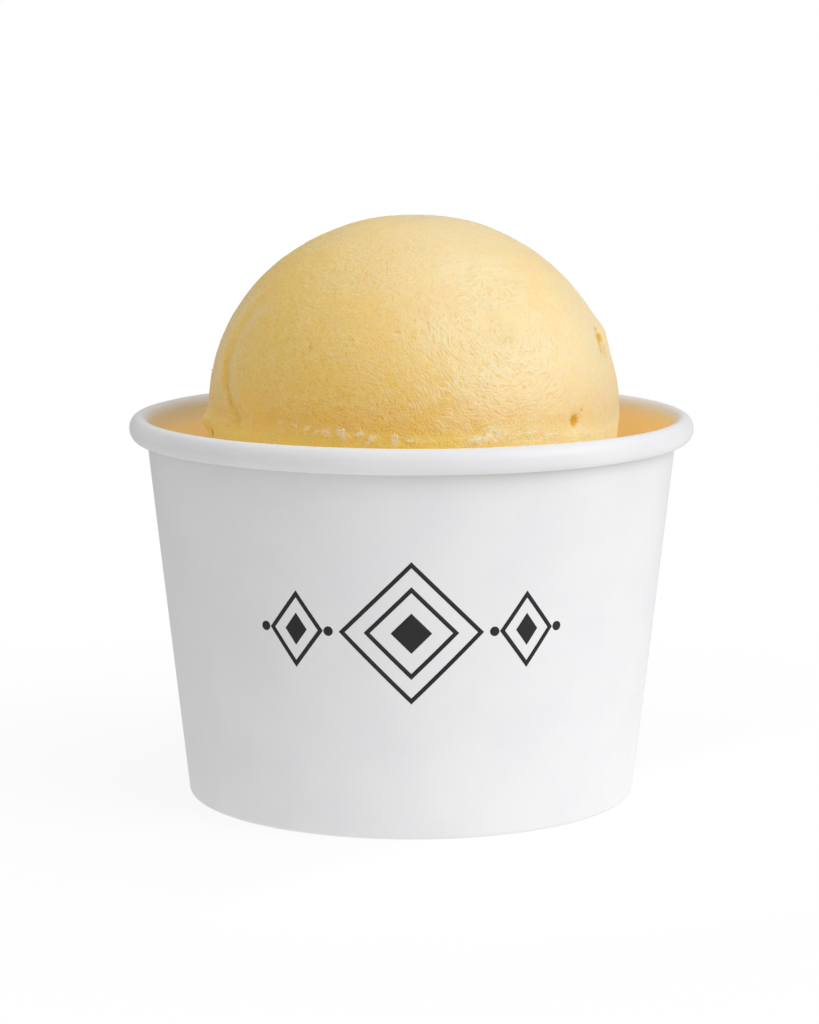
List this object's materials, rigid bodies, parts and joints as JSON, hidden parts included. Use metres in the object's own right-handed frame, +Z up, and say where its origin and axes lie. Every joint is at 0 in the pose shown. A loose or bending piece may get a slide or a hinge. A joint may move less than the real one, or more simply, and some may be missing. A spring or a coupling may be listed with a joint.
{
  "type": "cup of mango ice cream",
  "caption": "Round scoop of mango ice cream standing out of a small filled white paper cup with a rolled rim and a plain row of lozenges on its side.",
  "frame": {"origin": "middle of the cup's foot, on the surface it stands on", "axes": "+Z up through the middle of the cup and out of the top of the scoop; -Y towards the viewer, where the ornament is; +X to the viewer's right"},
  "size_m": [0.075, 0.075, 0.0771],
  "materials": {
    "cup_board": "white coated cup board, satin",
    "ice_cream": "soft frozen mango ice cream, faintly moist, with fine wrinkles",
    "ornament_ink": "charcoal printing ink, matt"
  },
  "bodies": {
    "root": {"cup_wall": "cup_board", "cup_base": "cup_board", "ice_cream": "ice_cream"}
  },
  "joints": []
}
